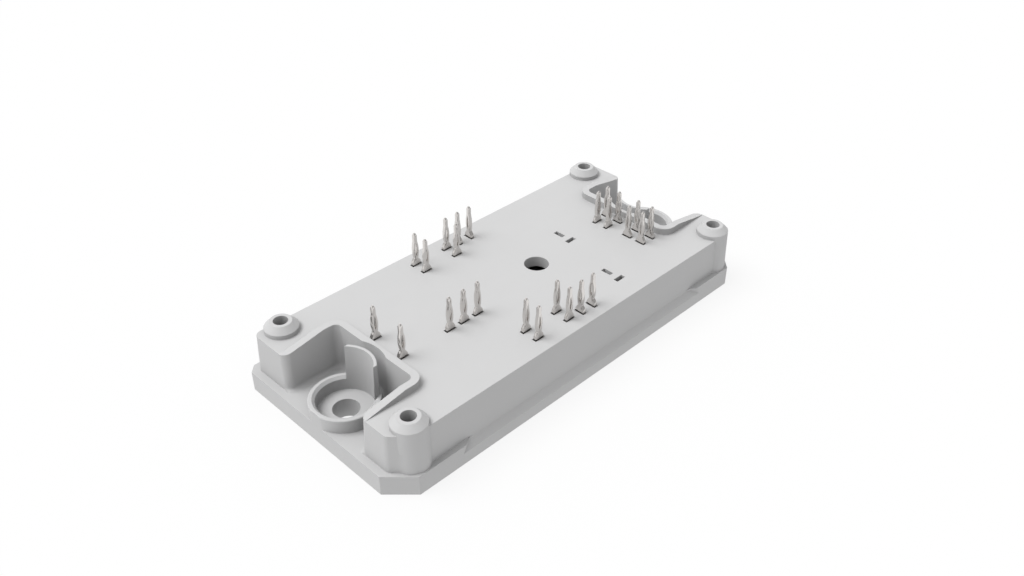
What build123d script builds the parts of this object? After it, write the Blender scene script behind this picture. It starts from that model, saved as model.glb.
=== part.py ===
# Press-fit power module: a moulded housing on a copper-faced ceramic plate.
# Millimetres. The origin is the middle of the bottom face, +X runs along the
# module and +Z points up through the pins.

import os
from math import radians, sqrt, tan

from build123d import *

# Flange at the foot of the housing
flange_length = 82.0
flange_width = 37.4
flange_thick = 3.5
front_corner_cut = 4.0
back_corner_cut = 1.3

# Walls that rise from the flange, measured at their foot
end_ledge = 1.3
side_ledge = 0.95
front_body_cut = 2.8
front_body_round = 1.3
back_body_round = 1.3
wall_draft = 2.1
body_top = 10.25

# Relief along both long edges of the flange. Its ends flare outwards and
# downwards from the end of the crease at the wall
relief_to_screw = 9.15
relief_crease_height = 3.2
relief_edge_height = 2.1
relief_end_flare = 1.6
relief_end_fall = 0.42
relief_end_radius = 2.0
relief_reach = 5.0

# Open bays at both ends, measured at the bay floor
screw_to_end = 5.5
bay_width = 17.9
bay_back_to_screw = 5.8
bay_inner_radius = 1.0
bay_mouth_radius = 1.4
bay_floor_cove = 0.45
niche_radius = 6.45
mouth_margin = 0.03
mouth_spread = 4.2

# Rim that stands on the top along each bay
rim_top = 11.5
rim_width = 1.28
rim_flat_end = 32.0

# Screw collar and the tall shield wall behind it
screw_hole_radius = 2.15
collar_inner_radius = 4.45
collar_wall = 1.15
collar_height = 2.45
collar_chamfer = 0.45
collar_outer_edge = 0.12
shield_top = 11.7
shield_wall = 0.77
shield_width = 7.0

# Standoffs that carry the circuit board
standoff_to_end = 5.45
standoff_to_side = 3.3
standoff_top = 12.0
standoff_foot_radius = 3.02
standoff_shoulder_radius = 2.8
standoff_cone = 1.0
standoff_hole_radius = 1.2
standoff_hole_depth = 9.0

# Gel filling hole in the top
fill_hole_radius = 2.15
fill_hole_x = 6.0

# Substrate: copper, ceramic, copper
copper_thick = 0.3
ceramic_thick = 0.63
ceramic_to_screw = 5.5
ceramic_to_side = 2.1
copper_pull_back = 0.8
adhesive_gap = 0.25
pocket_corner_radius = 0.5

# Walls round the cavity inside the housing
top_wall = 2.0
side_wall = 1.85
niche_wall = 1.15
bay_side_wall = 2.15
standoff_wall = 0.7
gel_level = 5.0

# Stamped pin. Its shoulder passes two points, given as a share of the blade
# width across and a share of the shoulder rise upwards
pin_thick = 0.6
pin_pad_width = 1.8
pin_pad_height = 0.5
pin_stem_width = 1.0
pin_blade_width = 1.75
pin_blade_drop = 2.6
pin_shoulder_start = 0.35
pin_shoulder_rise = 0.85
pin_round_middle = (0.42, 0.36)
pin_round_end = (0.33, 0.52)
pin_neck_width = 0.72
pin_neck_height = 0.25
pin_eye_zone = 2.75
pin_bulge_width = 1.08
pin_bulge_flat = 1.1
pin_eye_length = 2.3
pin_eye_width = 0.3
pin_eye_flat = 0.9
pin_shaft_width = 0.58
pin_top = 16.5
pin_point_height = 0.45
pin_point_width = 0.28
slot_clearance = 0.125

# How far a cutting body reaches past what it cuts, how near two places count
# as one, and how much of its length an edge rises to count as upright
cut_margin = 1.0
near = 0.01
upright_share = 0.9

# Levels, half lengths and places that follow from the sizes above
ceramic_bottom = copper_thick
ceramic_top = ceramic_bottom + ceramic_thick
track_top = ceramic_top + copper_thick
body_length = flange_length - 2 * end_ledge
body_width = flange_width - 2 * side_ledge
screw_x = flange_length / 2 - screw_to_end
standoff_x = flange_length / 2 - standoff_to_end
standoff_y = flange_width / 2 - standoff_to_side
ceramic_length = 2 * (screw_x - ceramic_to_screw)
ceramic_width = flange_width - 2 * ceramic_to_side
cavity_x = screw_x - niche_radius - niche_wall
cavity_y = body_width / 2 - side_wall
arm_x = standoff_x - standoff_foot_radius - standoff_wall
arm_inner_y = bay_width / 2 + bay_side_wall
slot_length = pin_blade_width + 2 * slot_clearance
slot_width = pin_thick + 2 * slot_clearance

# Pin columns at both ends of the cavity and pin rows along its sides
pin_column_to_cavity = 1.35
pin_column_step = 2.58
pin_row_to_cavity = 1.37
pin_row_step = 2.7
column_x = cavity_x - pin_column_to_cavity
inner_column_x = column_x - pin_column_step
row_y = cavity_y - pin_row_to_cavity
inner_row_y = row_y - pin_row_step

# Pin places: x, y and whether the blade lies along x or along y
pin_places = [
    (-column_x, 3.30, "x"),
    (-column_x, -3.20, "x"),
    (-16.88, -3.20, "x"),
    (-13.90, -3.20, "x"),
    (-10.90, -3.20, "x"),
    (-8.70, -inner_row_y, "x"),
    (-8.70, -row_y, "x"),
    (-1.70, -inner_row_y, "x"),
    (-1.70, -row_y, "x"),
    (1.05, -row_y, "y"),
    (3.77, -row_y, "y"),
    (-8.70, row_y, "x"),
    (-8.70, inner_row_y, "x"),
    (-1.70, row_y, "x"),
    (1.05, row_y, "y"),
    (-1.70, inner_row_y, "x"),
    (3.77, row_y, "y"),
    (inner_column_x, 1.87, "x"),
    (column_x, 1.87, "y"),
    (inner_column_x, -0.75, "x"),
    (column_x, -0.87, "y"),
    (inner_column_x, -5.30, "y"),
    (column_x, -5.25, "y"),
    (inner_column_x, -8.33, "y"),
    (column_x, -8.33, "y"),
]
empty_slots = [
    (15.72, 3.63, "y"),
    (15.70, 0.92, "x"),
    (12.70, -10.22, "y"),
    (12.68, -12.93, "x"),
]

# Lines that part the copper islands, from the edges of the cavity inwards
track_to_end = 0.4
track_to_side = 0.3
track_gap = 0.8
west_island_length = 7.1
east_island_length = 5.1
corner_island_length = 1.5
east_circuit_length = 15.2
row_island_width = 5.0
track_end = cavity_x - track_to_end
track_side = cavity_y - track_to_side
west_line = west_island_length - track_end
east_line = track_end - east_island_length
corner_line = track_end - corner_island_length
row_line = track_side - row_island_width

# Copper islands of the circuit: west, east, south and north edge
track_edges = [
    (-track_end, west_line, -track_side, track_side),
    (west_line + track_gap, -5.4, track_gap - row_line, -0.4),
    (west_line + track_gap, -10.4, 0.4, track_side),
    (west_line + track_gap, -10.4, -track_side, -row_line),
    (-9.6, -5.4, row_line, track_side),
    (-9.6, -5.4, -track_side, -row_line),
    (-9.6, 4.6, 0.4, row_line - track_gap),
    (-4.6, -0.2, row_line, track_side),
    (0.6, 1.8, row_line, track_side),
    (2.6, 4.6, row_line, track_side),
    (-4.6, 4.6, track_gap - row_line, -0.4),
    (-4.6, -0.2, -track_side, -row_line),
    (0.6, 1.8, -track_side, -row_line),
    (2.6, 4.6, -track_side, -row_line),
    (east_line - east_circuit_length, east_line - track_gap, 0.4, track_side),
    (east_line - east_circuit_length, east_line - track_gap, -track_side, -0.4),
    (east_line, corner_line - track_gap, -2.6, 6.0),
    (corner_line, track_end, -2.6, 6.0),
    (east_line, corner_line - track_gap, -track_side, -3.4),
    (corner_line, track_end, -track_side, -3.4),
    (east_line, corner_line - track_gap, 6.8, track_side),
    (corner_line, track_end, 6.8, track_side),
]

# Dies on the islands, by their middle
transistor_size = 6.4
diode_size = 4.4
die_thick = 0.2
west_die_x = west_line - west_island_length / 2
west_bridge_x = west_line + 5.4
east_bridge_x = east_line - 10.9
east_diode_x = east_line - 4.5
transistor_places = [
    (west_bridge_x, 5.0),
    (west_die_x, -9.0),
    (east_bridge_x, 5.0),
    (east_bridge_x, -5.0),
]
diode_places = [
    (west_bridge_x - 1.0, 11.7),
    (west_die_x, 9.0),
    (east_diode_x, 8.6),
    (east_diode_x, -6.4),
]
die_top = track_top + die_thick
thermistor_length = 3.2
thermistor_width = 1.6
thermistor_height = 0.9
thermistor_place = (corner_line - track_gap / 2, 11.0)

# Bond wires: the die they start on, how far beside its middle they lie, and
# where they end on a track, seen from their start
wire_width = 0.3
wire_rise = 1.6
wire_foot = 0.5
wire_runs = [
    (transistor_places[0], 0.6, (6.8, 0)),
    (transistor_places[0], -0.6, (6.8, 0)),
    (diode_places[0], 0, (7.4, -2.7)),
    (transistor_places[1], 0.7, (5.7, 0)),
    (transistor_places[1], -0.7, (5.7, 0)),
    (diode_places[1], 0, (5.5, 0)),
    (transistor_places[2], 0.6, (-7.6, 0)),
    (transistor_places[3], -0.6, (-7.6, 0)),
    (diode_places[2], 0, (5.5, 0)),
    (diode_places[3], 0, (5.3, 0)),
]


def lean(height):
    """How far a drafted wall has moved inwards at this height over its foot."""
    return height * tan(radians(wall_draft))


def upright(edge):
    """Whether this edge climbs a drafted wall from its foot to its top."""
    return abs(edge.tangent_at(0).Z) > upright_share


# Flange and body with leaning walls
body_height = body_top - flange_thick
rim_height = rim_top - flange_thick
with BuildPart() as bay_cutter:
    # One bay about its screw, opening towards +X
    bay_mouth = body_length / 2 - screw_x + mouth_margin
    bay_depth = bay_back_to_screw + bay_mouth
    mouth_reach = flange_length / 2 - screw_x + relief_reach
    with BuildSketch(Plane.XY.offset(flange_thick)) as bay_plan:
        with Locations((-bay_back_to_screw, 0)):
            Rectangle(bay_depth + cut_margin, bay_width, align=(Align.MIN, Align.CENTER))
        with Locations((bay_mouth, 0)):
            Rectangle(
                mouth_reach - bay_mouth,
                bay_width + 2 * mouth_spread,
                align=(Align.MIN, Align.CENTER),
            )
    extrude(amount=rim_height + cut_margin, taper=-wall_draft)
    mouth_edges = [
        e for e in bay_cutter.edges().filter_by(upright)
        if e.center().X > 0 and abs(e.center().Y) < bay_width / 2 + mouth_spread / 2
    ]
    fillet(mouth_edges, bay_mouth_radius)
    fillet(bay_cutter.edges().filter_by(upright).group_by(Axis.X)[0], bay_inner_radius)
    with BuildSketch(Plane.XY.offset(flange_thick)):
        Circle(niche_radius)
    extrude(amount=rim_height + cut_margin, taper=-wall_draft)
    bay_foot_edges = bay_cutter.faces().sort_by(Axis.Z)[0].edges()
    chamfer(bay_foot_edges, bay_floor_cove)

# Shield wall about one screw, on its -X side, with flat ends
shield_inner_radius = collar_inner_radius + lean(shield_top - flange_thick)
shield_outer_radius = collar_inner_radius + shield_wall
with BuildPart() as shield:
    with BuildSketch(Plane.XZ) as shield_profile:
        with BuildLine():
            Polyline(
                (-collar_inner_radius, flange_thick),
                (-shield_outer_radius, flange_thick),
                (-shield_outer_radius, shield_top),
                (-shield_inner_radius, shield_top),
                close=True,
            )
        make_face()
    revolve(axis=Axis.Z)
    with Locations((0, 0, flange_thick)):
        Box(
            shield_outer_radius + cut_margin,
            shield_width,
            shield_top - flange_thick,
            align=(Align.MAX, Align.CENTER, Align.MIN),
            mode=Mode.INTERSECT,
        )

# Collar about the same screw, flush with the end of the flange
collar_outer_radius = collar_inner_radius + collar_wall
collar_top = flange_thick + collar_height
chamfer_foot = collar_top - collar_chamfer
chamfer_radius = collar_inner_radius + lean(chamfer_foot - flange_thick)
with BuildPart() as screw_guard:
    with BuildSketch(Plane.XZ) as collar_profile:
        with BuildLine():
            Polyline(
                (collar_inner_radius, flange_thick),
                (collar_outer_radius, flange_thick),
                (collar_outer_radius, collar_top - collar_outer_edge),
                (collar_outer_radius - collar_outer_edge, collar_top),
                (chamfer_radius + collar_chamfer, collar_top),
                (chamfer_radius, chamfer_foot),
                close=True,
            )
        make_face()
    revolve(axis=Axis.Z)
    split(bisect_by=Plane.YZ.offset(screw_to_end), keep=Keep.BOTTOM)
    add(shield.part)

# One standoff about its own axis
with BuildPart() as standoff:
    with BuildSketch(Plane.XZ) as standoff_profile:
        with BuildLine():
            Polyline(
                (0, flange_thick),
                (standoff_foot_radius, flange_thick),
                (standoff_shoulder_radius, standoff_top - standoff_cone),
                (standoff_shoulder_radius - standoff_cone, standoff_top),
                (0, standoff_top),
                close=True,
            )
        make_face()
    revolve(axis=Axis.Z)

# Wedge that lowers one long edge of the flange, on the +Y side
with BuildPart() as relief_cutter:
    wall_foot_y = body_width / 2
    relief_fall = (relief_crease_height - relief_edge_height) / side_ledge
    relief_outer_y = wall_foot_y + relief_reach
    relief_outer_z = relief_crease_height - relief_fall * relief_reach
    with BuildSketch(Plane.YZ) as relief_profile:
        with BuildLine():
            Polyline(
                (wall_foot_y, relief_crease_height),
                (relief_outer_y, relief_outer_z),
                (relief_outer_y, body_top),
                (wall_foot_y, body_top),
                close=True,
            )
        make_face()
    crease_end = screw_x - relief_to_screw
    extrude(amount=crease_end + relief_reach, both=True)
    for side in (-1, 1):
        end_plane = Plane(
            origin=(side * crease_end, wall_foot_y, flange_thick),
            x_dir=(side * relief_end_flare, side_ledge, 0),
            z_dir=(-side * side_ledge, relief_end_flare, -side_ledge * relief_end_fall),
        )
        split(bisect_by=end_plane, keep=Keep.TOP)
    wall_edges = relief_cutter.edges().group_by(Axis.Y)[0]
    relief_ends = [e for e in wall_edges if abs(e.tangent_at(0).Z) > near]
    fillet(relief_ends, relief_end_radius)

# Space inside the housing, from the ceramic up to the top wall
with BuildPart() as cavity:
    with BuildSketch(Plane.XY.offset(ceramic_top)) as cavity_plan:
        Rectangle(2 * cavity_x, 2 * cavity_y)
        with GridLocations(0, arm_inner_y + cavity_y, 1, 2):
            Rectangle(2 * arm_x, cavity_y - arm_inner_y)
    extrude(amount=body_top - top_wall - ceramic_top)

# Solid body over the flange
with BuildPart() as body:
    with BuildSketch(Plane.XY.offset(flange_thick)) as body_plan:
        Rectangle(body_length, body_width)
        chamfer(body_plan.vertices().group_by(Axis.Y)[0], front_body_cut)
    extrude(amount=body_height, taper=wall_draft)
    end_edges = body.edges().filter_by(upright).group_by(Axis.X)
    front_edges = [e for e in end_edges[0] + end_edges[-1] if e.center().Y < 0]
    fillet(front_edges, front_body_round)
    fillet(body.edges().filter_by(upright).group_by(Axis.Y)[-1], back_body_round)

# Moulded housing
with BuildPart() as housing:
    with BuildSketch() as flange_plan:
        Rectangle(flange_length, flange_width)
        chamfer(flange_plan.vertices().group_by(Axis.Y)[0], front_corner_cut)
        chamfer(flange_plan.vertices().group_by(Axis.Y)[-1], back_corner_cut)
    extrude(amount=flange_thick)
    for turn in (0, 180):
        add(relief_cutter.part.rotate(Axis.Z, turn), mode=Mode.SUBTRACT)
    add(body.part)

    # Rims, flat over the inner part of a bay and falling to the top at its mouth
    rim_inner_x = screw_x - bay_back_to_screw - lean(rim_height)
    rim_outer_x = rim_inner_x - rim_width
    rim_end_x = body_length / 2 - lean(body_height)
    rim_half_width = bay_width / 2 + lean(rim_height) + rim_width
    with BuildSketch(Plane.XY.offset(body_top)) as rim_plan:
        with PolarLocations(rim_outer_x, 2):
            Rectangle(
                rim_end_x - rim_outer_x,
                2 * rim_half_width,
                align=(Align.MIN, Align.CENTER),
            )
        rim_corners = [v for v in rim_plan.vertices() if abs(v.X) < rim_end_x - near]
        fillet(rim_corners, bay_inner_radius + rim_width)
    extrude(amount=rim_top - body_top)
    with BuildSketch(Plane.XZ) as rim_slopes:
        for side in (-1, 1):
            with BuildLine():
                Polyline(
                    (side * rim_flat_end, rim_top),
                    (side * rim_end_x, body_top),
                    (side * flange_length / 2, body_top),
                    (side * flange_length / 2, rim_top + cut_margin),
                    (side * rim_flat_end, rim_top + cut_margin),
                    close=True,
                )
            make_face()
    extrude(amount=rim_half_width + cut_margin, both=True, mode=Mode.SUBTRACT)

    # Bays, collars with their shields, and standoffs
    with PolarLocations(screw_x, 2):
        add(bay_cutter.part, mode=Mode.SUBTRACT)
    with PolarLocations(screw_x, 2):
        add(screw_guard.part)
    with GridLocations(2 * standoff_x, 2 * standoff_y, 2, 2):
        add(standoff.part)
    standoff_plane = Plane.XY.offset(standoff_top)
    with Locations(standoff_plane):
        with GridLocations(2 * standoff_x, 2 * standoff_y, 2, 2):
            Hole(standoff_hole_radius, depth=standoff_hole_depth)
    with Locations(Plane.XY.offset(flange_thick)):
        with PolarLocations(screw_x, 2):
            Hole(screw_hole_radius, depth=flange_thick)

    # Cavity, substrate pocket, slots and filling hole
    add(cavity.part, mode=Mode.SUBTRACT)
    with BuildSketch() as pocket_plan:
        RectangleRounded(
            ceramic_length + 2 * adhesive_gap,
            ceramic_width + 2 * adhesive_gap,
            pocket_corner_radius,
        )
    extrude(amount=ceramic_top, mode=Mode.SUBTRACT)
    with BuildSketch(Plane.XY.offset(body_top)) as slot_plan:
        for x, y, along in pin_places + empty_slots:
            with Locations(Location((x, y), 0 if along == "x" else 90)):
                Rectangle(slot_length, slot_width)
        with Locations((fill_hole_x, 0)):
            Circle(fill_hole_radius)
    extrude(amount=-top_wall, mode=Mode.SUBTRACT)

housing.part.label = "housing"

# Substrate
with BuildPart() as bottom_copper:
    with BuildSketch():
        Rectangle(
            ceramic_length - 2 * copper_pull_back,
            ceramic_width - 2 * copper_pull_back,
        )
    extrude(amount=copper_thick)
bottom_copper.part.label = "bottom_copper"

with BuildPart() as ceramic_plate:
    with BuildSketch(Plane.XY.offset(ceramic_bottom)):
        Rectangle(ceramic_length, ceramic_width)
    extrude(amount=ceramic_thick)
ceramic_plate.part.label = "ceramic_plate"

with BuildPart() as edge_adhesive:
    with BuildSketch(Plane.XY.offset(ceramic_bottom)):
        RectangleRounded(
            ceramic_length + 2 * adhesive_gap,
            ceramic_width + 2 * adhesive_gap,
            pocket_corner_radius,
        )
        Rectangle(ceramic_length, ceramic_width, mode=Mode.SUBTRACT)
    extrude(amount=ceramic_thick)
edge_adhesive.part.label = "edge_adhesive"

with BuildPart() as copper_tracks:
    with BuildSketch(Plane.XY.offset(ceramic_top)):
        for west, east, south, north in track_edges:
            with Locations(((west + east) / 2, (south + north) / 2)):
                Rectangle(east - west, north - south)
    extrude(amount=copper_thick)
copper_tracks.part.label = "copper_tracks"


def square_die(size, place):
    """A flat square die on the tracks, with its middle at this place."""
    with BuildPart() as die:
        with BuildSketch(Plane.XY.offset(track_top)):
            with Locations(place):
                Rectangle(size, size)
        extrude(amount=die_thick)
    return die.part


dies = {}
for number, place in enumerate(transistor_places, 1):
    dies[f"transistor_die_{number}"] = square_die(transistor_size, place)
for number, place in enumerate(diode_places, 1):
    dies[f"diode_die_{number}"] = square_die(diode_size, place)

with BuildPart() as thermistor:
    with BuildSketch(Plane.XY.offset(track_top)):
        with Locations(thermistor_place):
            Rectangle(thermistor_length, thermistor_width)
    extrude(amount=thermistor_height)
thermistor.part.label = "thermistor"


def bond_wire(die_place, beside, reach):
    """A flat-footed wire that arches from a die top down to a track."""
    run = sqrt(reach[0] ** 2 + reach[1] ** 2)
    run_plane = Plane(
        origin=(die_place[0], die_place[1] + beside, 0),
        x_dir=(reach[0], reach[1], 0),
        z_dir=(reach[1], -reach[0], 0),
    )
    crown = die_top + wire_rise
    with BuildPart() as wire:
        with BuildSketch(run_plane):
            with BuildLine():
                Polyline(
                    (0, die_top),
                    (wire_foot, die_top),
                    (run / 2, crown),
                    (run - wire_foot, track_top),
                    (run, track_top),
                    (run, track_top + wire_width),
                    (run - wire_foot, track_top + wire_width),
                    (run / 2, crown + wire_width),
                    (wire_foot, die_top + wire_width),
                    (0, die_top + wire_width),
                    close=True,
                )
            make_face()
        extrude(amount=wire_width / 2, both=True)
    return wire.part


wires = [bond_wire(*run) for run in wire_runs]
with BuildPart() as bond_wires:
    for wire in wires:
        add(wire)
bond_wires.part.label = "bond_wires"

# One stamped pin, its blade along x, standing on the tracks
with BuildPart() as pin:
    blade_bottom = body_top - pin_blade_drop
    shoulder_z = body_top + pin_shoulder_start
    neck_z = shoulder_z + pin_shoulder_rise
    eye_bottom = neck_z + pin_neck_height
    eye_top = eye_bottom + pin_eye_zone
    eye_middle = (eye_bottom + eye_top) / 2
    point_z = pin_top - pin_point_height
    blade_step = (pin_blade_width - pin_stem_width) / 2
    round_middle = (
        pin_round_middle[0] * pin_blade_width,
        shoulder_z + pin_round_middle[1] * pin_shoulder_rise,
    )
    round_end = (
        pin_round_end[0] * pin_blade_width,
        shoulder_z + pin_round_end[1] * pin_shoulder_rise,
    )
    with BuildSketch(Plane.XZ) as pin_outline:
        with BuildLine() as right_side:
            Polyline(
                (0, track_top),
                (pin_pad_width / 2, track_top),
                (pin_pad_width / 2, track_top + pin_pad_height),
                (pin_stem_width / 2, track_top + pin_pad_height),
                (pin_stem_width / 2, blade_bottom),
                (pin_blade_width / 2, blade_bottom + blade_step),
                (pin_blade_width / 2, shoulder_z),
                round_middle,
                round_end,
                (pin_neck_width / 2, neck_z),
                (pin_neck_width / 2, eye_bottom),
                (pin_bulge_width / 2, eye_middle - pin_bulge_flat / 2),
                (pin_bulge_width / 2, eye_middle + pin_bulge_flat / 2),
                (pin_shaft_width / 2, eye_top),
                (pin_shaft_width / 2, point_z),
                (pin_point_width / 2, pin_top),
                (0, pin_top),
            )
            mirror(about=Plane.YZ)
        make_face()
        with BuildLine() as eye:
            Polyline(
                (0, eye_middle - pin_eye_length / 2),
                (pin_eye_width / 2, eye_middle - pin_eye_flat / 2),
                (pin_eye_width / 2, eye_middle + pin_eye_flat / 2),
                (0, eye_middle + pin_eye_length / 2),
            )
            mirror(about=Plane.YZ)
        make_face(mode=Mode.SUBTRACT)
    extrude(amount=pin_thick / 2, both=True)
    with BuildSketch(Plane.YZ) as pin_side:
        with BuildLine():
            Polyline(
                (-pin_thick / 2, track_top),
                (pin_thick / 2, track_top),
                (pin_thick / 2, point_z),
                (pin_point_width / 2, pin_top),
                (-pin_point_width / 2, pin_top),
                (-pin_thick / 2, point_z),
                close=True,
            )
        make_face()
    extrude(amount=pin_pad_width, both=True, mode=Mode.INTERSECT)

pins = {}
for number, (x, y, along) in enumerate(pin_places, 1):
    turned = pin.part.rotate(Axis.Z, 0 if along == "x" else 90)
    pins[f"press_fit_pin_{number:02d}"] = turned.translate((x, y, 0))

# Gel over the circuit, with room for everything that stands in it
with BuildPart() as silicone_gel:
    add(cavity.part)
    split(bisect_by=Plane.XY.offset(gel_level), keep=Keep.BOTTOM)
    buried = [copper_tracks.part, bond_wires.part, thermistor.part]
    buried += list(dies.values()) + list(pins.values())
    for piece in buried:
        add(piece, mode=Mode.SUBTRACT)
silicone_gel.part.label = "silicone_gel"

# Write every piece
os.makedirs("parts", exist_ok=True)
pieces = [
    housing.part,
    bottom_copper.part,
    ceramic_plate.part,
    edge_adhesive.part,
    copper_tracks.part,
    thermistor.part,
    bond_wires.part,
    silicone_gel.part,
]
for name, piece in {**dies, **pins}.items():
    piece.label = name
    pieces.append(piece)
for piece in pieces:
    export_step(piece, f"parts/{piece.label}.step")
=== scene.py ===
"""Looks of a press-fit power module: pale moulded housing, tinned pins and a copper base.

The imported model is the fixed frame. Lengths in this file are in millimetres where
a name ends in _mm, and in metres everywhere else.
"""

import logging
import math
from dataclasses import dataclass
from enum import Enum
from typing import Iterable, Sequence

import bmesh
import bpy
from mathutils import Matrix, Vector

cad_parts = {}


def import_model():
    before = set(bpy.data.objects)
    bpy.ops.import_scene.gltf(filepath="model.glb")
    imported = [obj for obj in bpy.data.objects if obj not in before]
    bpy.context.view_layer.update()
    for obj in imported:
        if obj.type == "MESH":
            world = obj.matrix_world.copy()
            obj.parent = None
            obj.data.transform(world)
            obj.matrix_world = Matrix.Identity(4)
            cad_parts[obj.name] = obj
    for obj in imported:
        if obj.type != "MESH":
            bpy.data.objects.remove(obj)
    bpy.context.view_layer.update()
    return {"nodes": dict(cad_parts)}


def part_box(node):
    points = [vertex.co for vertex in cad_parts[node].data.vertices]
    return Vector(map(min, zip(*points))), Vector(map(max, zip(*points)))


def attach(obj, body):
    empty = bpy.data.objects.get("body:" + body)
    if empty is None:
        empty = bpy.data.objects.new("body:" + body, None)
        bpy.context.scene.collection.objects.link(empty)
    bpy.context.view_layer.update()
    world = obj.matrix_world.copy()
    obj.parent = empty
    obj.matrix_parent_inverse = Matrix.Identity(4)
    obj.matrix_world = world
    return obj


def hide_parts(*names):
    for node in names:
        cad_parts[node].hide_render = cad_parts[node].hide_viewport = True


LOG = logging.getLogger("power_module")
MM = 0.001

Colour = tuple[float, float, float]
Point = tuple[float, float, float]
Span = tuple[float, float]
Socket = bpy.types.NodeSocket
Value = Socket | float

WHITE = (1.0, 1.0, 1.0, 1.0)
UNSTRETCHED: Point = (1.0, 1.0, 1.0)
# Times a place, this leaves out its height.
IN_PLAN: Point = (1.0, 1.0, 0.0)
# The middle range, in which most of a noise pattern lies.
NOISE_LOW = 0.3
NOISE_HIGH = 0.7
SOFT_EDGE_SAMPLES = 8
# At 50 all faces count by their size alone, and above it large ones count for more.
LARGE_FACE_WEIGHT = 80


class BladeAxis(Enum):
    """The direction in which the flat of a pin's blade lies."""

    ALONG_X = 0.0
    ALONG_Y = math.pi / 2


class Side(Enum):
    """The two flat sides of a stamped pin, as the sign of their y."""

    FRONT = -1.0
    BACK = 1.0


class Edge(Enum):
    """The upright edges on each flat side of a pin, from left to right."""

    LEFT = "left"
    EYE_LEFT = "eye_left"
    EYE_RIGHT = "eye_right"
    RIGHT = "right"


Row = dict[tuple[Side, Edge], bmesh.types.BMVert]


class Ray(Enum):
    """The kinds of light that a material can tell apart."""

    CAMERA = "Is Camera Ray"
    DIFFUSE = "Is Diffuse Ray"
    GLOSSY = "Is Glossy Ray"
    TRANSMISSION = "Is Transmission Ray"


class Glow(Enum):
    """What gives plain light, in a world or on a surface."""

    WORLD = "ShaderNodeBackground"
    SURFACE = "ShaderNodeEmission"


class Maths(Enum):
    """How one value is worked out from two."""

    PLUS = "ADD"
    TIMES = "MULTIPLY"
    LARGER = "MAXIMUM"


class Course(Enum):
    """How a ramp runs from its first result to its last."""

    EVEN = "LINEAR"
    SOFT = "SMOOTHSTEP"


class NodeGraph:
    """A node tree under construction, with short names for the nodes it uses."""

    def __init__(self, tree: bpy.types.NodeTree, output: str) -> None:
        """Empties a tree and gives it its output.

        Args:
            tree: The tree of a material or a world.
            output: The type name of its output node.
        """
        self.nodes = tree.nodes
        self.links = tree.links
        self.nodes.clear()
        self.output = self.add(output)

    def add(self, kind: str, **values: object) -> bpy.types.Node:
        """Adds a node and sets its own properties.

        Args:
            kind: The node's type name.
            **values: Properties of the node, by name.

        Returns:
            The new node.
        """
        node = self.nodes.new(kind)
        for name, value in values.items():
            setattr(node, name, value)
        return node

    def join(self, source: Value, target: Socket) -> None:
        """Links an output socket to an input socket, or gives that one a plain number.

        Args:
            source: The output socket or the number.
            target: The input socket.
        """
        if isinstance(source, bpy.types.NodeSocket):
            self.links.new(source, target)
        else:
            target.default_value = source

    def ramp(
        self,
        value: Socket,
        start: float = 0.0,
        end: float = 1.0,
        low: Value = 0.0,
        high: Value = 1.0,
        course: Course = Course.EVEN,
    ) -> Socket:
        """Runs from one result to another while a value goes from its start to its end.

        Args:
            value: The value.
            start: Where the result is still the first one.
            end: Where the result is the last one, which may lie below the start.
            low: The first result.
            high: The last result.
            course: How the result changes on the way.

        Returns:
            The socket with the result.
        """
        ramp = self.add("ShaderNodeMapRange", interpolation_type=course.value)
        ramp.inputs["From Min"].default_value = start
        ramp.inputs["From Max"].default_value = end
        self.join(low, ramp.inputs["To Min"])
        self.join(high, ramp.inputs["To Max"])
        self.join(value, ramp.inputs["Value"])
        return ramp.outputs["Result"]

    def work_out(self, how: Maths, first: Value, second: Value) -> Socket:
        """Works out one value from two.

        Args:
            how: The kind of sum.
            first: The first value.
            second: The second value.

        Returns:
            The socket with the result.
        """
        result = self.add("ShaderNodeMath", operation=how.value)
        self.join(first, result.inputs[0])
        self.join(second, result.inputs[1])
        return result.outputs["Value"]

    def product(self, factors: Sequence[Socket]) -> Socket:
        """Multiplies some values.

        Args:
            factors: The values.

        Returns:
            The socket with their product.
        """
        total = factors[0]
        for factor in factors[1:]:
            total = self.work_out(Maths.TIMES, total, factor)
        return total

    def ray(self, kind: Ray) -> Socket:
        """The socket with 1 for light of one kind and 0 for any other."""
        return self.add("ShaderNodeLightPath").outputs[kind.value]

    def mirrored_or_clear(self) -> Socket:
        """The socket with 1 for light that is mirrored or that goes through clear gel."""
        return self.work_out(Maths.LARGER, self.ray(Ray.GLOSSY), self.ray(Ray.TRANSMISSION))

    def white_light(self, kind: Glow, strength: Value) -> Socket:
        """Adds plain white light.

        Args:
            kind: What gives the light.
            strength: How strong it is.

        Returns:
            The socket with the light.
        """
        light = self.add(kind.value)
        light.inputs["Color"].default_value = WHITE
        self.join(strength, light.inputs["Strength"])
        return light.outputs[0]

    def mix_shaders(self, share: Value, first: Socket, second: Socket) -> Socket:
        """Mixes two shaders.

        Args:
            share: The share of the second one.
            first: The first shader.
            second: The second shader.

        Returns:
            The socket with the mixed shader.
        """
        mix = self.add("ShaderNodeMixShader")
        self.join(share, mix.inputs["Fac"])
        self.join(first, mix.inputs[1])
        self.join(second, mix.inputs[2])
        return mix.outputs["Shader"]


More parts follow.
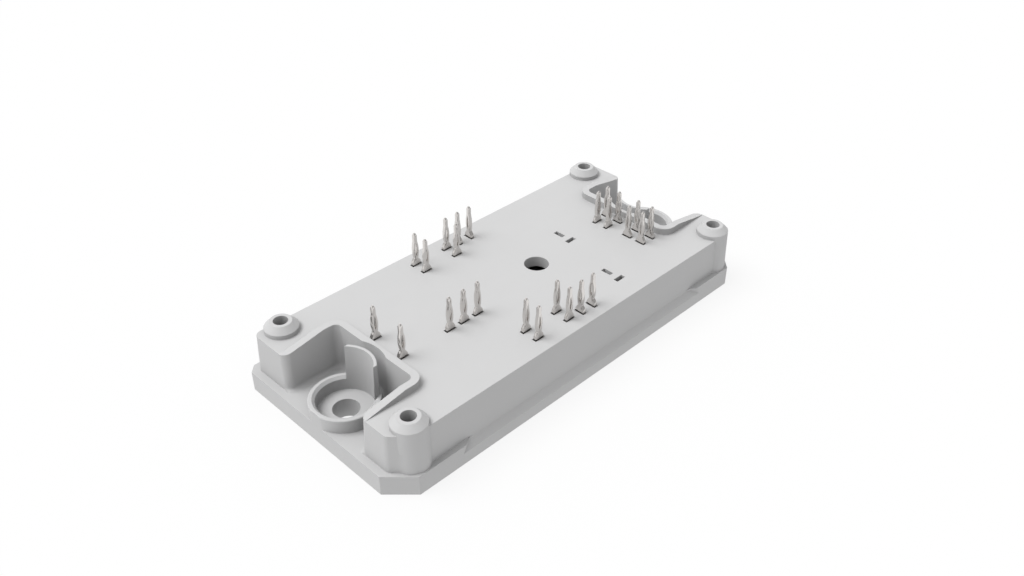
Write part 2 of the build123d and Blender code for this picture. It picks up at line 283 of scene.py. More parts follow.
class Recipe(NodeGraph):
    """A node material under construction."""

    def __init__(self, name: str) -> None:
        """Starts an empty material.

        Args:
            name: The material's name.
        """
        self.material = bpy.data.materials.new(name)
        self.material.use_nodes = True
        super().__init__(self.material.node_tree, "ShaderNodeOutputMaterial")

    def place(self, scale: float, stretch: Point = UNSTRETCHED) -> Socket:
        """Object coordinates, scaled.

        Args:
            scale: How many pattern units lie in one metre.
            stretch: A further scale for each axis.

        Returns:
            The socket with the scaled coordinates.
        """
        coordinates = self.add("ShaderNodeTexCoord")
        mapping = self.add("ShaderNodeMapping")
        mapping.inputs["Scale"].default_value = tuple(scale * part for part in stretch)
        self.join(coordinates.outputs["Object"], mapping.inputs["Vector"])
        return mapping.outputs["Vector"]

    def blend(self, share: Socket, first: Colour, second: Colour) -> Socket:
        """Mixes two colours by a pattern.

        Args:
            share: The share of the second colour.
            first: The colour at share 0.
            second: The colour at share 1.

        Returns:
            The socket with the mixed colour.
        """
        mix = self.add("ShaderNodeMix", data_type="RGBA")
        colours = {"A": first, "B": second}
        for socket in mix.inputs:
            if socket.type == "RGBA":
                socket.default_value = (*colours[socket.name], 1.0)
        self.join(share, mix.inputs["Factor"])
        return next(socket for socket in mix.outputs if socket.type == "RGBA")

    def dim(self, colour: Socket, share: Socket) -> Socket:
        """Darkens a colour by a value from 0 to 1.

        Args:
            colour: The colour.
            share: How much of it is kept.

        Returns:
            The socket with the darkened colour.
        """
        scale = self.add("ShaderNodeVectorMath", operation="SCALE")
        self.join(colour, scale.inputs["Vector"])
        self.join(share, scale.inputs["Scale"])
        return scale.outputs["Vector"]

    def soft_edges(self, radius: Socket) -> Socket:
        """Normals that turn softly over each sharp edge.

        Args:
            radius: The radius of the soft edge, in metres.

        Returns:
            The socket with the normal.
        """
        bevel = self.add("ShaderNodeBevel", samples=SOFT_EDGE_SAMPLES)
        self.join(radius, bevel.inputs["Radius"])
        return bevel.outputs["Normal"]

    def surface(self, values: dict[str, Value]) -> None:
        """Adds the surface shader.

        Args:
            values: The plain numbers and links of its inputs, by their name.
        """
        shader = self.add("ShaderNodeBsdfPrincipled")
        for name, value in values.items():
            self.join(value, shader.inputs[name])
        self.join(shader.outputs["BSDF"], self.output.inputs["Surface"])


@dataclass(frozen=True)
class Noise:
    """A noise pattern fixed to the object, with a further scale for each axis."""

    units_per_metre: float
    layers: float = 3.0
    fineness: float = 0.5
    stretch: Point = UNSTRETCHED

    def draw(self, recipe: Recipe) -> Socket:
        """Adds the pattern to a material.

        Args:
            recipe: The material under construction.

        Returns:
            The socket with the pattern's value from 0 to 1.
        """
        noise = recipe.add("ShaderNodeTexNoise")
        noise.inputs["Scale"].default_value = 1.0
        noise.inputs["Detail"].default_value = self.layers
        noise.inputs["Roughness"].default_value = self.fineness
        recipe.join(recipe.place(self.units_per_metre, self.stretch), noise.inputs["Vector"])
        return noise.outputs["Fac"]

    def spread(self, recipe: Recipe, low: float = 0.0, high: float = 1.0) -> Socket:
        """Adds the pattern with its middle range spread over a range of values.

        Args:
            recipe: The material under construction.
            low: The value at the pattern's low end.
            high: The value at the pattern's high end.

        Returns:
            The socket with the spread value.
        """
        return recipe.ramp(self.draw(recipe), NOISE_LOW, NOISE_HIGH, low, high)


@dataclass(frozen=True)
class Bands:
    """Even bands across the object's y direction."""

    units_per_metre: float

    def spread(self, recipe: Recipe) -> Socket:
        """Adds the bands to a material.

        Args:
            recipe: The material under construction.

        Returns:
            The socket with the bands' value from 0 to 1.
        """
        wave = recipe.add("ShaderNodeTexWave", bands_direction="Y")
        wave.inputs["Scale"].default_value = 1.0
        recipe.join(recipe.place(self.units_per_metre), wave.inputs["Vector"])
        return wave.outputs["Fac"]


@dataclass(frozen=True)
class Gloss:
    """Roughness that follows a pattern."""

    pattern: Noise
    low: float
    high: float

    def draw(self, recipe: Recipe) -> Socket:
        """The socket with the roughness at each place."""
        return self.pattern.spread(recipe, self.low, self.high)


@dataclass(frozen=True)
class Relief:
    """Fine surface relief that follows a pattern, with its height in metres."""

    pattern: Noise
    height: float
    strength: float

    def draw(self, recipe: Recipe, normal: Socket | None = None) -> Socket:
        """Adds the relief to a material.

        Args:
            recipe: The material under construction.
            normal: The normal that the relief starts from.

        Returns:
            The socket with the changed normal.
        """
        bump = recipe.add("ShaderNodeBump")
        bump.inputs["Distance"].default_value = self.height
        bump.inputs["Strength"].default_value = self.strength
        recipe.join(self.pattern.draw(recipe), bump.inputs["Height"])
        if normal is not None:
            recipe.join(normal, bump.inputs["Normal"])
        return bump.outputs["Normal"]


@dataclass(frozen=True)
class BayPoint:
    """Where a point of the surface lies in its end bay, taken alike at both ends."""

    x: Socket
    y: Socket
    z: Socket
    from_screw: Socket


@dataclass(frozen=True)
class BayZone:
    """A region of both end bays, found from the axis of the fixing screw."""

    screw_x: float = 35.5 * MM

    def measure(self, recipe: Recipe) -> BayPoint:
        """Finds where the points of the surface lie.

        Args:
            recipe: The material under construction.

        Returns:
            The sockets for x, y and z and for the distance from the screw's axis.
        """
        coordinates = recipe.add("ShaderNodeTexCoord")
        either_end = recipe.add("ShaderNodeVectorMath", operation="ABSOLUTE")
        recipe.join(coordinates.outputs["Object"], either_end.inputs[0])
        place = recipe.add("ShaderNodeSeparateXYZ")
        recipe.join(either_end.outputs["Vector"], place.inputs["Vector"])
        plan = recipe.add("ShaderNodeVectorMath", operation="MULTIPLY")
        plan.inputs[1].default_value = IN_PLAN
        recipe.join(either_end.outputs["Vector"], plan.inputs[0])
        from_screw = recipe.add("ShaderNodeVectorMath", operation="DISTANCE")
        from_screw.inputs[1].default_value = (self.screw_x, 0.0, 0.0)
        recipe.join(plan.outputs["Vector"], from_screw.inputs[0])
        x, y, z = (place.outputs[axis] for axis in "XYZ")
        return BayPoint(x, y, z, from_screw.outputs["Value"])


@dataclass(frozen=True)
class CoveZone(BayZone):
    """The foot of the bay walls, where the wall runs over into the floor in a soft cove."""

    collar_edge: float = 5.9 * MM
    collar_clear: float = 6.6 * MM
    reach_x: float = 39.75 * MM
    reach_y: float = 10.3 * MM
    wall_end: float = 5.0 * MM
    wall_start: float = 4.6 * MM
    margin: float = 0.1 * MM
    radius: float = 1.0 * MM

    def radii(self, recipe: Recipe, elsewhere: float) -> Socket:
        """The radius of the softened edges, which is larger over the cove.

        Args:
            recipe: The material under construction.
            elsewhere: The radius outside the cove, in metres.

        Returns:
            The socket with the radius for each place.
        """
        at = self.measure(recipe)
        share = recipe.product(
            [
                recipe.ramp(at.from_screw, self.collar_edge, self.collar_clear),
                recipe.ramp(at.x, self.reach_x, self.reach_x - self.margin),
                recipe.ramp(at.y, self.reach_y, self.reach_y - self.margin),
                recipe.ramp(at.z, self.wall_end, self.wall_start),
            ]
        )
        return recipe.ramp(share, low=elsewhere, high=self.radius)


@dataclass(frozen=True)
class PaintedNicheLightZone(BayZone):
    """The narrow gap between a shield wall and the round niche behind it, brightened there
    with painted light.
    """

    shield_back: float = 5.05 * MM
    gap_start: float = 5.2 * MM
    gap_end: float = 7.0 * MM
    outside: float = 8.2 * MM
    inner_x: float = 33.6 * MM
    outer_x: float = 34.6 * MM
    # Painted light: in the gap, light that is passed on meets the full colour, which
    # brightens the gap.
    painted_bounce_share: float = 1.0

    def painted_bounce_shares(self, recipe: Recipe, elsewhere: float) -> Socket:
        """The share of colour lent to light that is passed on, raised in the gap to paint
        light into its shade.

        Args:
            recipe: The material under construction.
            elsewhere: The share outside the gap.

        Returns:
            The socket with the share for each place.
        """
        at = self.measure(recipe)
        share = recipe.product(
            [
                recipe.ramp(at.from_screw, self.shield_back, self.gap_start),
                recipe.ramp(at.from_screw, self.outside, self.gap_end),
                recipe.ramp(at.x, self.outer_x, self.inner_x),
            ]
        )
        return recipe.ramp(share, low=elsewhere, high=self.painted_bounce_share)


@dataclass(frozen=True)
class Finish:
    """What all finishes share: two tones mixed by a pattern, gloss and fine relief."""

    name: str
    tone: Colour
    shade: Colour
    mottle: Noise | Bands
    gloss: Gloss | float
    relief: Relief | None = None
    metallic: float = 0.0

    def make(self) -> bpy.types.Material:
        """Builds the material.

        Returns:
            The finished material.
        """
        recipe = Recipe(self.name)
        recipe.surface(self.inputs(recipe))
        return recipe.material

    def inputs(self, recipe: Recipe) -> dict[str, Value]:
        """The inputs of the surface shader.

        Args:
            recipe: The material under construction.

        Returns:
            The plain numbers and links, by the name of their input.
        """
        inputs: dict[str, Value] = {
            "Base Color": self.colour(recipe),
            "Metallic": self.metallic,
            "Roughness": self.roughness(recipe),
        }
        if self.relief is not None:
            inputs["Normal"] = self.normal(recipe)
        return inputs

    def colour(self, recipe: Recipe) -> Socket:
        """The two tones, mixed by their pattern."""
        return recipe.blend(self.mottle.spread(recipe), self.tone, self.shade)

    def roughness(self, recipe: Recipe) -> Value:
        """The roughness, as a plain number where it is the same everywhere."""
        return self.gloss.draw(recipe) if isinstance(self.gloss, Gloss) else self.gloss

    def normal(self, recipe: Recipe) -> Socket:
        """The normal, changed by the relief."""
        return self.relief.draw(recipe)


@dataclass(frozen=True)
class MouldedPlastic(Finish):
    """Pale grey glass-filled plastic with a fine, even spark-eroded grain."""

    name: str = "moulded_plastic"
    tone: Colour = (0.672, 0.672, 0.674)
    shade: Colour = (0.658, 0.658, 0.660)
    mottle: Noise = Noise(70.0, 4.0, 0.6)
    gloss: Gloss = Gloss(Noise(420.0, stretch=(0.35, 1.0, 1.0)), 0.52, 0.62)
    relief: Relief = Relief(Noise(9000.0, 2.0, 0.6), 0.003 * MM, 0.5)
    specular: float = 0.32
    edge_radius: float = 0.11 * MM
    cove: CoveZone = CoveZone()
    # Painted shade: light that goes on to another surface meets only this share of the
    # colour, so hollows and creases fall darker.
    painted_bounce_share: float = 0.22
    # The niche gap, brightened with painted light.
    niche: PaintedNicheLightZone = PaintedNicheLightZone()

    def inputs(self, recipe: Recipe) -> dict[str, Value]:
        """The shared inputs, with how strongly the plastic mirrors."""
        return super().inputs(recipe) | {"Specular IOR Level": self.specular}

    def colour(self, recipe: Recipe) -> Socket:
        """The two tones, dimmed for light that goes on to another surface, which paints
        shade into hollows and creases.

        Args:
            recipe: The material under construction.

        Returns:
            The socket with the colour that each kind of light meets.
        """
        # Painted shade: bounced light meets a dimmed colour everywhere except the niche gap,
        # where painted light lifts it.
        painted_bounce_share = self.niche.painted_bounce_shares(recipe, self.painted_bounce_share)
        share = recipe.ramp(recipe.ray(Ray.DIFFUSE), low=1.0, high=painted_bounce_share)
        return recipe.dim(super().colour(recipe), share)

    def normal(self, recipe: Recipe) -> Socket:
        """The grain, over edges that are softened."""
        edges = recipe.soft_edges(self.cove.radii(recipe, self.edge_radius))
        return self.relief.draw(recipe, edges)


@dataclass(frozen=True)
class TinnedMetal(Finish):
    """Bright tin over stamped copper, with drawing lines along the pin."""

    name: str = "tinned_pin"
    tone: Colour = (0.71, 0.687, 0.668)
    shade: Colour = (0.665, 0.642, 0.623)
    mottle: Noise = Noise(700.0)
    gloss: Gloss = Gloss(Noise(700.0), 0.13, 0.20)
    relief: Relief = Relief(Noise(6500.0, 2.0, stretch=(1.0, 1.0, 0.05)), 0.0006 * MM, 0.3)
    metallic: float = 1.0


@dataclass(frozen=True)
class CopperSheet(Finish):
    """Bare copper bonded to ceramic, faintly clouded and brushed."""

    name: str = "copper_sheet"
    tone: Colour = (0.80, 0.42, 0.27)
    shade: Colour = (0.62, 0.30, 0.19)
    mottle: Noise = Noise(160.0, 5.0, 0.62)
    gloss: Gloss = Gloss(Noise(2600.0, 3.0, 0.6), 0.26, 0.42)
    relief: Relief = Relief(Noise(5200.0, 2.0, stretch=(0.04, 1.0, 1.0)), 0.003 * MM, 0.4)
    metallic: float = 1.0


@dataclass(frozen=True)
class AluminaCeramic(Finish):
    """White fired alumina with a fine dull grain."""

    name: str = "alumina_ceramic"
    tone: Colour = (0.86, 0.855, 0.83)
    shade: Colour = (0.78, 0.775, 0.75)
    mottle: Noise = Noise(5200.0, 3.0, 0.7)
    gloss: float = 0.48
    relief: Relief = Relief(Noise(5200.0, 3.0, 0.7), 0.004 * MM, 0.5)


@dataclass(frozen=True)
class CuredSilicone(Finish):
    """Pale, dull silicone, as it sets in an adhesive bead."""

    name: str = "edge_adhesive"
    tone: Colour = (0.72, 0.72, 0.69)
    shade: Colour = (0.66, 0.66, 0.63)
    mottle: Noise = Noise(500.0, 2.0)
    gloss: float = 0.5
    relief: Relief = Relief(Noise(500.0, 2.0), 0.02 * MM, 0.35)
    clearness: float = 0.0
    refraction: float = 1.41

    def inputs(self, recipe: Recipe) -> dict[str, Value]:
        """The shared inputs, with how clear the silicone is."""
        clear = {"Transmission Weight": self.clearness, "IOR": self.refraction}
        return super().inputs(recipe) | clear


@dataclass(frozen=True)
class SoftGel(CuredSilicone):
    """Clear, soft silicone gel."""

    name: str = "soft_gel"
    tone: Colour = (0.80, 0.81, 0.80)
    shade: Colour = (0.77, 0.78, 0.77)
    gloss: float = 0.12
    clearness: float = 0.6


@dataclass(frozen=True)
class SiliconFace(Finish):
    """The metallised upper face of a chip, with its fine cell rows."""

    name: str = "silicon_face"
    tone: Colour = (0.62, 0.63, 0.66)
    shade: Colour = (0.50, 0.51, 0.55)
    mottle: Bands = Bands(620.0)
    gloss: float = 0.22
    metallic: float = 1.0


@dataclass(frozen=True)
class SinteredBlock(Finish):
    """Dark sintered body of a small sensor."""

    name: str = "sintered_block"
    tone: Colour = (0.045, 0.045, 0.05)
    shade: Colour = (0.09, 0.09, 0.095)
    mottle: Noise = Noise(4200.0, 3.0, 0.7)
    gloss: float = 0.55
    relief: Relief = Relief(Noise(4200.0, 3.0, 0.7), 0.006 * MM, 0.5)


@dataclass(frozen=True)
class DrawnWire(Finish):
    """Bright drawn aluminium wire."""

    name: str = "drawn_wire"
    tone: Colour = (0.80, 0.80, 0.82)
    shade: Colour = (0.68, 0.68, 0.70)
    mottle: Noise = Noise(5200.0, 2.0, stretch=(0.1, 1.0, 1.0))
    gloss: float = 0.25
    relief: Relief = Relief(Noise(5200.0, 2.0, stretch=(0.1, 1.0, 1.0)), 0.003 * MM, 0.4)
    metallic: float = 1.0


def add_object(name: str, data: bpy.types.ID) -> bpy.types.Object:
    """Makes an object and puts it into the scene.

    Args:
        name: The object's name.
        data: Its mesh, lamp or camera.

    Returns:
        The object.
    """
    made = bpy.data.objects.new(name, data)
    bpy.context.scene.collection.objects.link(made)
    return made


def aim(piece: bpy.types.Object, direction: Vector) -> None:
    """Turns a camera or a lamp so that it looks along a direction."""
    piece.rotation_mode = "QUATERNION"
    piece.rotation_quaternion = direction.to_track_quat("-Z", "Y")


def shade_evenly(piece: bpy.types.Object) -> None:
    """Lets the large faces of a piece set the shading of the narrow ones beside them."""
    modifier = piece.modifiers.new("even_shading", "WEIGHTED_NORMAL")
    modifier.weight = LARGE_FACE_WEIGHT


@dataclass
class Viewpoint:
    """The camera, standing over the front left corner of the module."""

    place: Point = (-0.09751, -0.09755, 0.10563)
    looks_along: Point = (1.0, 1.0, -1.0)
    lens_mm: float = 35.0
    sensor_mm: float = 36.0
    nearest_seen: float = 0.005
    farthest_seen: float = 20.0

    def build(self) -> bpy.types.Object:
        """Makes the camera and gives it to the scene.

        Returns:
            The camera object.
        """
        data = bpy.data.cameras.new("viewpoint")
        data.lens = self.lens_mm
        data.sensor_width = self.sensor_mm
        data.clip_start = self.nearest_seen
        data.clip_end = self.farthest_seen
        camera = add_object("viewpoint", data)
        camera.location = self.place
        aim(camera, Vector(self.looks_along))
        bpy.context.scene.camera = camera
        return camera


@dataclass(frozen=True)
class Screen:
    """A soft-edged bright or dark screen that only mirrored light or clear gel shows."""

    direction: Point
    edge_start: float
    edge_end: float
    gain: float


@dataclass
class Studio:
    """A white room with even light from all round and a broad soft lamp."""

    sky: float = 0.51
    lamp: float = 1.87
    lamp_spread_degrees: float = 40.0
    lamp_from: Point = (-0.367, 0.317, 0.875)
    mirrored_low: float = 0.5
    screens: tuple[Screen, ...] = (
        Screen((0.577, 0.577, 0.577), edge_start=0.35, edge_end=0.92, gain=0.6),
        Screen((-0.82, 0.57, 0.05), edge_start=0.90, edge_end=0.99, gain=0.5),
        Screen((0.58, -0.77, 0.26), edge_start=0.70, edge_end=0.97, gain=-0.10),
    )
    floor_size: float = 6.0
    floor_tone: float = 0.97
    floor_white: float = 0.87
    floor_fill: float = 0.64

    def build(self) -> None:
        """Makes the world, the lamp and the floor."""
        self.build_world()
        self.build_lamp()
        self.build_floor()

    def build_world(self) -> None:
        """Makes a world that lights evenly and shows white behind the object."""
        world = bpy.data.worlds.new("studio")
        world.use_nodes = True
        graph = NodeGraph(world.node_tree, "ShaderNodeOutputWorld")
        light = graph.white_light(Glow.WORLD, self.sky)
        mirrored = graph.white_light(Glow.WORLD, self.screen_strength(graph))
        seen = graph.white_light(Glow.WORLD, 1.0)
        unseen = graph.mix_shaders(graph.mirrored_or_clear(), light, mirrored)
        shown = graph.mix_shaders(graph.ray(Ray.CAMERA), unseen, seen)
        graph.join(shown, graph.output.inputs["Surface"])
        bpy.context.scene.world = world

    def screen_strength(self, graph: NodeGraph) -> Socket:
        """The strength of what is mirrored, which changes from screen to screen.

        Args:
            graph: The world under construction.

        Returns:
            The socket with the strength for each direction.
        """
        direction = graph.add("ShaderNodeTexCoord").outputs["Generated"]
        total: Value = self.mirrored_low
        for screen in self.screens:
            toward = graph.add("ShaderNodeVectorMath", operation="DOT_PRODUCT")
            toward.inputs[1].default_value = screen.direction
            graph.join(direction, toward.inputs[0])
            gain = graph.ramp(
                toward.outputs["Value"],
                screen.edge_start,
                screen.edge_end,
                high=screen.gain,
                course=Course.SOFT,
            )
            total = graph.work_out(Maths.PLUS, total, gain)
        return total

    def build_lamp(self) -> bpy.types.Object:
        """Makes the broad soft lamp.

        Returns:
            The lamp object.
        """
        data = bpy.data.lights.new("broad_lamp", "SUN")
        data.energy = self.lamp
        data.angle = math.radians(self.lamp_spread_degrees)
        lamp = add_object("broad_lamp", data)
        lamp.location = self.lamp_from
        aim(lamp, -Vector(self.lamp_from))
        lamp.visible_glossy = False
        return lamp

    def build_floor(self) -> bpy.types.Object:
        """Makes the white floor that keeps a soft shadow.

        Returns:
            The floor object.
        """
        half = self.floor_size / 2
        square = [(-half, -half, 0), (half, -half, 0), (half, half, 0), (-half, half, 0)]
        mesh = bpy.data.meshes.new("studio_floor")
        mesh.from_pydata(square, [], [(0, 1, 2, 3)])
        mesh.materials.append(self.floor_material())
        floor = add_object("studio_floor", mesh)
        return floor

    def floor_material(self) -> bpy.types.Material:
        """Makes the floor's material, which gives even fill light from below.

        Returns:
            The material.
        """
        recipe = Recipe("studio_floor")
        matt = recipe.add("ShaderNodeBsdfDiffuse")
        matt.inputs["Color"].default_value = (*(self.floor_tone,) * 3, 1.0)
        white = recipe.white_light(Glow.SURFACE, 1.0)
        fill = recipe.white_light(Glow.SURFACE, self.floor_fill)
        seen = recipe.mix_shaders(self.floor_white, matt.outputs["BSDF"], white)
        unseen = recipe.mix_shaders(recipe.mirrored_or_clear(), fill, white)
        shown = recipe.mix_shaders(recipe.ray(Ray.CAMERA), unseen, seen)
        recipe.join(shown, recipe.output.inputs["Surface"])
        return recipe.material


def named(nodes: dict[str, bpy.types.Object], *starts: str) -> list[bpy.types.Object]:
    """The solids whose names start with one of these words, in the order of their names."""
    return [node for name, node in sorted(nodes.items()) if name.startswith(starts)]


def dress(pieces: Iterable[bpy.types.Object], material: bpy.types.Material) -> None:
    """Gives carried-over solids their finish.

    Args:
        pieces: The objects to dress.
        material: The material that takes the place of their own.
    """
    for piece in pieces:
        piece.data.materials.clear()
        piece.data.materials.append(material)


@dataclass
class HousingShell:
    """The moulded housing, smooth over its rounds and crisp at its edges."""

    node: bpy.types.Object
    edge_angle_degrees: float = 28.0
    facet_gap: float = 0.001 * MM

    def build(self, finish: MouldedPlastic) -> list[bpy.types.Object]:
        """Evens the housing's shading and gives it its finish.

        Args:
            finish: The plastic of the housing.

        Returns:
            The dressed object, in a list.
        """
        dress([self.node], finish.make())
        self.even_out()
        return [self.node]

    def even_out(self) -> None:
        """Joins the facets of each face and keeps the edges between faces crisp."""
        weld = self.node.modifiers.new("joined_facets", "WELD")
        weld.merge_threshold = self.facet_gap
        edges = self.node.modifiers.new("crisp_edges", "EDGE_SPLIT")
        edges.split_angle = math.radians(self.edge_angle_degrees)
        shade_evenly(self.node)
        self.node.data.shade_smooth()


def along(value: float, run: Span, results: Span) -> float:
    """Goes evenly from one result to another while a value goes over its run.

    Args:
        value: The value.
        run: Where the value starts and ends.
        results: The first and the last result.

    Returns:
        The result at the value.
    """
    share = (value - run[0]) / (run[1] - run[0])
    return results[0] + (results[1] - results[0]) * share


@dataclass
class PressFitPin:
    """One stamped pin: foot, round shoulders, springy eye, shaft and point."""

    foot_mm: float = 1.23
    pad_width_mm: float = 1.8
    pad_top_mm: float = 1.73
    pad_slope_mm: float = 0.1
    stem_width_mm: float = 1.0
    stem_top_mm: float = 7.65
    blade_width_mm: float = 1.75
    blade_start_mm: float = 8.03
    seat_mm: float = 10.31
    seat_step_mm: float = 0.05
    seat_relief_mm: float = 0.08
    shoulder_mm: float = 10.62
    shoulder_power: float = 1.5
    shoulder_steps: int = 12
    neck_width_mm: float = 0.72
    neck_mm: float = 11.58
    bulge_start_mm: float = 11.68
    bulge_end_mm: float = 14.88
    bulge_width_mm: float = 1.06
    bulge_power: float = 0.9
    bulge_end_steps: int = 2
    eye_length_mm: float = 2.55
    eye_width_mm: float = 0.40
    eye_power: float = 2.2
    eye_steps: int = 24
    shaft_width_mm: float = 0.58
    point_start_mm: float = 16.06
    top_mm: float = 16.50
    point_width_mm: float = 0.24
    thickness_mm: float = 0.60
    edge_round_mm: float = 0.04
    edge_round_steps: int = 2
    edge_angle_degrees: float = 40.0

    def half_width(self, height: float) -> float:
        """Half the pin's width at a height.

        Args:
            height: The height over the bottom face, in millimetres.

        Returns:
            The half width there, in millimetres.
        """
        if height >= self.point_start_mm:
            point = (self.point_start_mm, self.top_mm)
            return along(height, point, (self.shaft_width_mm, self.point_width_mm)) / 2
        if height >= self.bulge_end_mm:
            return self.shaft_width_mm / 2
        if height >= self.bulge_start_mm:
            return self.bulge_half_width(height)
        if height >= self.neck_mm:
            return self.neck_width_mm / 2
        if height >= self.shoulder_mm:
            return self.shoulder_half_width(height)
        if height >= self.blade_start_mm:
            return self.blade_width_mm / 2 - self.relief_below_seat(height)
        if height >= self.stem_top_mm:
            flare = (self.stem_top_mm, self.blade_start_mm)
            return along(height, flare, (self.stem_width_mm, self.blade_width_mm)) / 2
        if height > self.pad_top_mm:
            slope = (0.0, self.pad_slope_mm)
            risen = min(height - self.pad_top_mm, self.pad_slope_mm)
            return along(risen, slope, (self.pad_width_mm, self.stem_width_mm)) / 2
        return self.pad_width_mm / 2

    def relief_below_seat(self, height: float) -> float:
        """How far the blade steps in on each side just under its shoulder.

        Args:
            height: The height over the bottom face, in millimetres.

        Returns:
            The step on one side, in millimetres.
        """
        share = (self.seat_mm + self.seat_step_mm - height) / self.seat_step_mm
        return self.seat_relief_mm * min(1.0, max(0.0, share))

    def shoulder_half_width(self, height: float) -> float:
        """Half the width over the shoulder, which starts round and then runs to the neck.

        Args:
            height: The height over the bottom face, in millimetres.

        Returns:
            The half width there, in millimetres.
        """
        share = along(height, (self.shoulder_mm, self.neck_mm), (0.0, 1.0))
        narrowing = (self.blade_width_mm - self.neck_width_mm) * share**self.shoulder_power
        return (self.blade_width_mm - narrowing) / 2

    def bulge_half_width(self, height: float) -> float:
        """Half the width over the bulge round the eye, from the neck to the shaft.

        Args:
            height: The height over the bottom face, in millimetres.

        Returns:
            The half width there, in millimetres.
        """
        reach = (self.bulge_start_mm, self.bulge_end_mm)
        ends = (self.neck_width_mm, self.shaft_width_mm)
        swell = self.bulge_width_mm - sum(ends) / 2
        share = along(height, reach, (0.0, 1.0))
        rise = math.sin(math.pi * share) ** self.bulge_power
        return (along(height, reach, ends) + swell * rise) / 2

    def eye_middle(self) -> float:
        """The height of the eye's middle, in millimetres."""
        return (self.bulge_start_mm + self.bulge_end_mm) / 2

    def half_eye(self, height: float) -> float:
        """Half the width of the eye at a height, which is 0 outside it.

        Args:
            height: The height over the bottom face, in millimetres.

        Returns:
            The half width of the opening there, in millimetres.
        """
        share = abs(height - self.eye_middle()) / (self.eye_length_mm / 2)
        return self.eye_width_mm / 2 * (1 - share**self.eye_power) if share < 1 else 0.0

    def half_thickness(self, height: float) -> float:
        """Half the sheet's thickness, which falls off over the point.

        Args:
            height: The height over the bottom face, in millimetres.

        Returns:
            The half thickness there, in millimetres.
        """
        if height <= self.shoulder_mm:
            return self.thickness_mm / 2 - self.relief_below_seat(height)
        if height <= self.point_start_mm:
            return self.thickness_mm / 2
        point = (self.point_start_mm, self.top_mm)
        return along(height, point, (self.thickness_mm, self.point_width_mm)) / 2

    def heights(self) -> list[float]:
        """The heights at which the pin's outline has a row of points.

        Returns:
            The heights in rising order, in millimetres.
        """
        low = self.eye_middle() - self.eye_length_mm / 2
        high = self.eye_middle() + self.eye_length_mm / 2
        marks = [self.foot_mm, self.pad_top_mm, self.pad_top_mm + self.pad_slope_mm]
        marks += [self.stem_top_mm, self.blade_start_mm]
        marks += [self.seat_mm, self.seat_mm + self.seat_step_mm]
        marks += self.steps(self.shoulder_mm, self.neck_mm, self.shoulder_steps)
        marks += [self.neck_mm]
        marks += self.steps(self.bulge_start_mm, low, self.bulge_end_steps)
        marks += self.steps(low, high, self.eye_steps)
        marks += self.steps(high, self.bulge_end_mm, self.bulge_end_steps)
        marks += [self.bulge_end_mm, self.point_start_mm, self.top_mm]
        return marks

    @staticmethod
    def steps(low: float, high: float, count: int) -> list[float]:
        """Even steps from one height up to another, without that other one itself."""
        return [low + (high - low) * step / count for step in range(count)]

    def mesh(self, name: str) -> bpy.types.Mesh:
        """Builds the pin standing on its own axis, its blade along x.

        Args:
            name: The mesh's name.

        Returns:
            The mesh, in metres.
        """
        shape = bmesh.new()
        rows = [self.row(shape, height) for height in self.heights()]
        for low, high in zip(rows, rows[1:]):
            self.close_between(shape, low, high)
        for end in (rows[0], rows[-1]):
            self.cap(shape, end)
        bmesh.ops.recalc_face_normals(shape, faces=shape.faces)
        mesh = bpy.data.meshes.new(name)
        shape.to_mesh(mesh)
        shape.free()
        mesh.shade_smooth()
        return mesh

    def row(self, shape: bmesh.types.BMesh, height: float) -> Row:
        """Adds the points of the outline at one height.

        Args:
            shape: The mesh under construction.
            height: The height over the bottom face, in millimetres.

        Returns:
            The points by side and edge. The two edges of the eye meet where it is shut.
        """
        wide, eye = self.half_width(height), self.half_eye(height)
        across = {Edge.LEFT: -wide, Edge.RIGHT: wide, Edge.EYE_LEFT: -eye}
        if eye > 0:
            across[Edge.EYE_RIGHT] = eye
        row: Row = {}
        for side in Side:
            y = side.value * self.half_thickness(height)
            for edge, x in across.items():
                row[side, edge] = shape.verts.new((x * MM, y * MM, height * MM))
            row.setdefault((side, Edge.EYE_RIGHT), row[side, Edge.EYE_LEFT])
        return row

    def close_between(self, shape: bmesh.types.BMesh, low: Row, high: Row) -> None:
        """Adds the faces between two rows.

        Args:
            shape: The mesh under construction.
            low: The lower row.
            high: The upper row.
        """
        strips = ((Edge.LEFT, Edge.EYE_LEFT), (Edge.EYE_RIGHT, Edge.RIGHT))
        for side in Side:
            for left, right in strips:
                lower = (low[side, left], low[side, right])
                self.face(shape, *lower, high[side, right], high[side, left])
        walls = [Edge.LEFT, Edge.RIGHT]
        if self.is_open(low) or self.is_open(high):
            walls += [Edge.EYE_LEFT, Edge.EYE_RIGHT]
        for edge in walls:
            front = (low[Side.FRONT, edge], high[Side.FRONT, edge])
            self.face(shape, *front, high[Side.BACK, edge], low[Side.BACK, edge])

    @staticmethod
    def is_open(row: Row) -> bool:
        """Whether the eye is open at a row."""
        return row[Side.FRONT, Edge.EYE_LEFT] is not row[Side.FRONT, Edge.EYE_RIGHT]

    @staticmethod
    def face(shape: bmesh.types.BMesh, *points: bmesh.types.BMVert) -> None:
        """Adds a face through these points, each taken once.

        Args:
            shape: The mesh under construction.
            *points: The points in order round the face.
        """
        kept = list(dict.fromkeys(points))
        if len(kept) > 2:
            shape.faces.new(kept)

    def cap(self, shape: bmesh.types.BMesh, row: Row) -> None:
        """Closes the pin at its foot or at its tip.

        Args:
            shape: The mesh under construction.
            row: The row at that end, where the eye is shut.
        """
        edges = (Edge.LEFT, Edge.EYE_LEFT, Edge.RIGHT)
        front = [row[Side.FRONT, edge] for edge in edges]
        back = [row[Side.BACK, edge] for edge in reversed(edges)]
        self.face(shape, *front, *back)


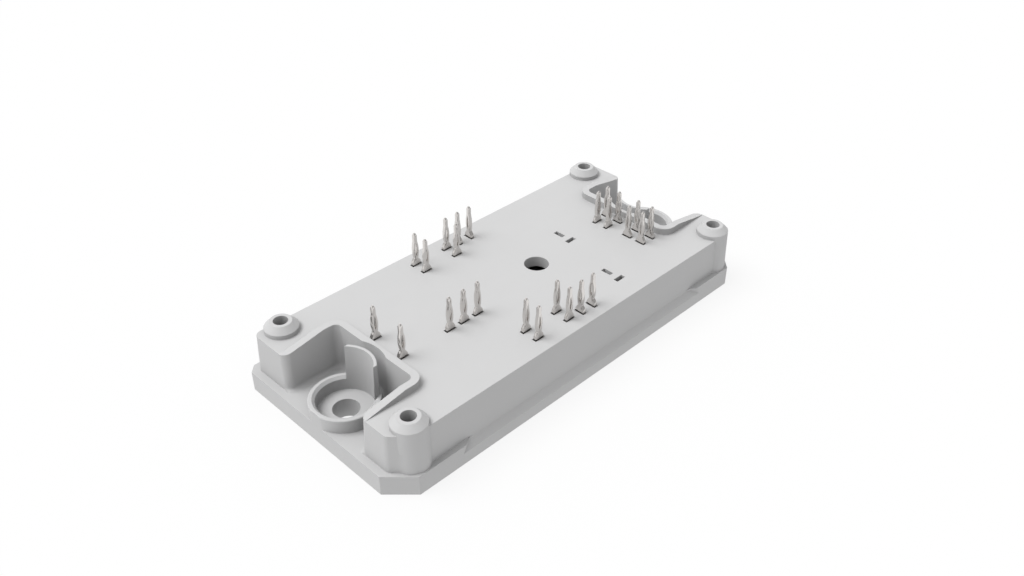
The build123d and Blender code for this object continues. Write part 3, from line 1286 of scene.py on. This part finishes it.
@dataclass
class PinField:
    """All pins of the module, each in the place of its own solid."""

    nodes: Sequence[bpy.types.Object]
    pin: PressFitPin

    def build(self, finish: TinnedMetal) -> list[bpy.types.Object]:
        """Builds every pin in the place of its solid.

        Args:
            finish: The metal of the pins.

        Returns:
            The pins.
        """
        mesh = self.pin.mesh("press_fit_pin")
        mesh.materials.append(finish.make())
        return [self.plant(node.name, mesh) for node in self.nodes]

    def plant(self, node: str, mesh: bpy.types.Mesh) -> bpy.types.Object:
        """Puts one pin where its solid stands.

        Args:
            node: The name of the solid.
            mesh: The mesh that all pins share.

        Returns:
            The pin.
        """
        low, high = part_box(node)
        lies_along_x = high.x - low.x > high.y - low.y
        blade = BladeAxis.ALONG_X if lies_along_x else BladeAxis.ALONG_Y
        pin = add_object(node.replace("press_fit_pin", "tinned_pin"), mesh)
        pin.location = ((low.x + high.x) / 2, (low.y + high.y) / 2, 0.0)
        pin.rotation_euler = (0.0, 0.0, blade.value)
        rounds = pin.modifiers.new("eased_edges", "BEVEL")
        rounds.width = self.pin.edge_round_mm * MM
        rounds.segments = self.pin.edge_round_steps
        rounds.limit_method = "ANGLE"
        rounds.angle_limit = math.radians(self.pin.edge_angle_degrees)
        shade_evenly(pin)
        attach(pin, "root")
        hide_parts(node)
        return pin


@dataclass
class CarriedPieces:
    """Pieces whose solid already has the right shape and only needs its finish."""

    group: str
    names: tuple[str, ...]
    finish: Finish

    def build(self, nodes: dict[str, bpy.types.Object]) -> list[bpy.types.Object]:
        """Gives the pieces their finish.

        Args:
            nodes: All solids, by name.

        Returns:
            The dressed pieces.
        """
        chosen = named(nodes, *self.names)
        dress(chosen, self.finish.make())
        return chosen


def report(group: str, pieces: Sequence[bpy.types.Object]) -> None:
    """Logs the pieces of one group."""
    for piece in pieces:
        LOG.info("%s: %s", group, piece.name)


def main() -> None:
    """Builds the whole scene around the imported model."""
    logging.basicConfig(level=logging.INFO, format="%(name)s %(message)s")
    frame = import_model()
    bpy.context.scene.view_settings.view_transform = "Standard"
    Viewpoint().build()
    Studio().build()

    nodes = frame["nodes"]
    report("housing", HousingShell(nodes["housing"]).build(MouldedPlastic()))
    pin_nodes = named(nodes, "press_fit_pin")
    report("pins", PinField(pin_nodes, PressFitPin()).build(TinnedMetal()))
    carried = [
        CarriedPieces("copper", ("bottom_copper", "copper_tracks"), CopperSheet()),
        CarriedPieces("ceramic", ("ceramic_plate",), AluminaCeramic()),
        CarriedPieces("adhesive", ("edge_adhesive",), CuredSilicone()),
        CarriedPieces("dies", ("transistor_die", "diode_die"), SiliconFace()),
        CarriedPieces("sensor", ("thermistor",), SinteredBlock()),
        CarriedPieces("wires", ("bond_wires",), DrawnWire()),
        CarriedPieces("gel", ("silicone_gel",), SoftGel()),
    ]
    for pieces in carried:
        report(pieces.group, pieces.build(nodes))


if __name__ == "__main__":
    main()
